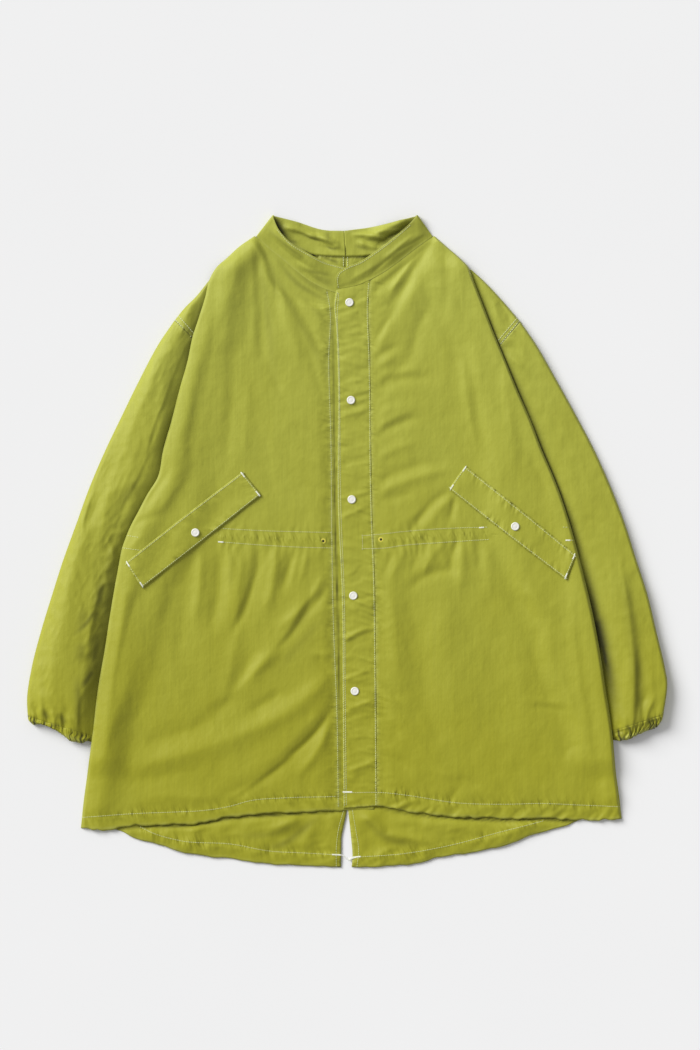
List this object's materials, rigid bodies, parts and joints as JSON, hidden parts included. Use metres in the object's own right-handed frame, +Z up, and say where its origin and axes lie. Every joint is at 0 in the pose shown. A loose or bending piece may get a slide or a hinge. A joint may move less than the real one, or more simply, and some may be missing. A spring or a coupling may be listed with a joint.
{
  "type": "fishtail parka, laid flat",
  "caption": "Wide stand-collar fishtail parka laid flat on its back, with snap placket, slanted pocket flaps, elastic cuffs and a split, rounded tail longer than the front.",
  "frame": {"origin": "middle of the laid-out garment's outline, on the surface that it lies on", "axes": "+Y towards the collar along the centre front, +X to the wearer's left, +Z up out of the front"},
  "size_m": [0.8316, 0.847, 0.0149],
  "materials": {
    "cloth": "plain-woven olive-lime cotton and nylon cloth, slightly crisp, with a faint sheen",
    "snap_ivory": "smooth ivory caps, satin",
    "eyelet_brass": "plain brass, lightly worn",
    "thread": "pale twisted thread, matt"
  },
  "bodies": {
    "root": {"back_left": "cloth", "back_right": "cloth", "collar_left": "cloth", "collar_right": "cloth", "cuff_left": "cloth", "cuff_right": "cloth", "eyelet_left": "eyelet_brass", "eyelet_right": "eyelet_brass", "flap_snap_left": "snap_ivory", "flap_snap_right": "snap_ivory", "front_left": "cloth", "front_right": "cloth", "placket": "cloth", "pocket_flap_left": "cloth", "pocket_flap_right": "cloth", "shoulder_left": "cloth", "shoulder_right": "cloth", "sleeve_left": "cloth", "sleeve_right": "cloth", "snap_1": "snap_ivory", "snap_2": "snap_ivory", "snap_3": "snap_ivory", "snap_4": "snap_ivory", "snap_5": "snap_ivory", "tail_cord": "thread"}
  },
  "joints": []
}
